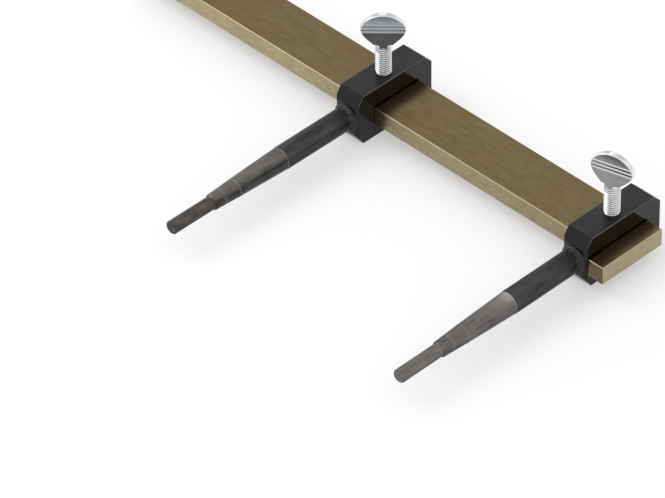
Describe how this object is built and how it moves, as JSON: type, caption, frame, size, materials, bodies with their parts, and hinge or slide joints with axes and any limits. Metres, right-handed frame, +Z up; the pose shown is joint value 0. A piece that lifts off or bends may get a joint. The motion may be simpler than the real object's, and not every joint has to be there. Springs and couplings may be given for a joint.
{
  "type": "brake caliper holder",
  "caption": "Flat brass bar with sliding clamps; each has a turned arm ending in a pin that holds a brake caliper by its ears.",
  "frame": {"origin": "centre of the bounding box at its base: the plane of the two frames' undersides, on which the holder stands", "axes": "+X along the bar towards its stop end, +Y from the pins towards the bar, +Z up along the thumb screws"},
  "size_m": [0.32, 0.1658, 0.0629],
  "materials": {
    "bar_brass": "drawn and brushed along its length, dull",
    "black_steel": "black oxide, semi-gloss",
    "turned_steel": "black oxide near the frame, bare turned steel towards the pin",
    "weld_steel": "blackened weld bead",
    "zinc_steel": "bright zinc plate"
  },
  "bodies": {
    "bar": {"bar": "bar_brass"},
    "left_clamp": {"left_clamp_frame": "black_steel", "left_arm": "turned_steel", "left_arm_weld": "weld_steel"},
    "right_clamp": {"right_clamp_frame": "black_steel", "right_arm": "turned_steel", "right_arm_weld": "weld_steel"},
    "left_screw": {"left_thumb_screw": "zinc_steel"},
    "right_screw": {"right_thumb_screw": "zinc_steel"}
  },
  "joints": [
    {"name": "left_clamp_slide", "type": "slide", "parent": "bar", "child": "left_clamp", "axis": [1, 0, 0], "range_m": [-0.14, 0.06]},
    {"name": "right_clamp_slide", "type": "slide", "parent": "bar", "child": "right_clamp", "axis": [1, 0, 0], "range_m": [-0.065, 0.0005]},
    {"name": "left_screw_turn", "type": "hinge", "parent": "left_clamp", "child": "left_screw", "pos_m": [-0.0061, 0.05755, 0.028], "axis": [0, 0, 1], "range_deg": [0, 1530]},
    {"name": "right_screw_turn", "type": "hinge", "parent": "right_clamp", "child": "right_screw", "pos_m": [0.1429, 0.05755, 0.028], "axis": [0, 0, 1], "range_deg": [0, 1530]}
  ]
}
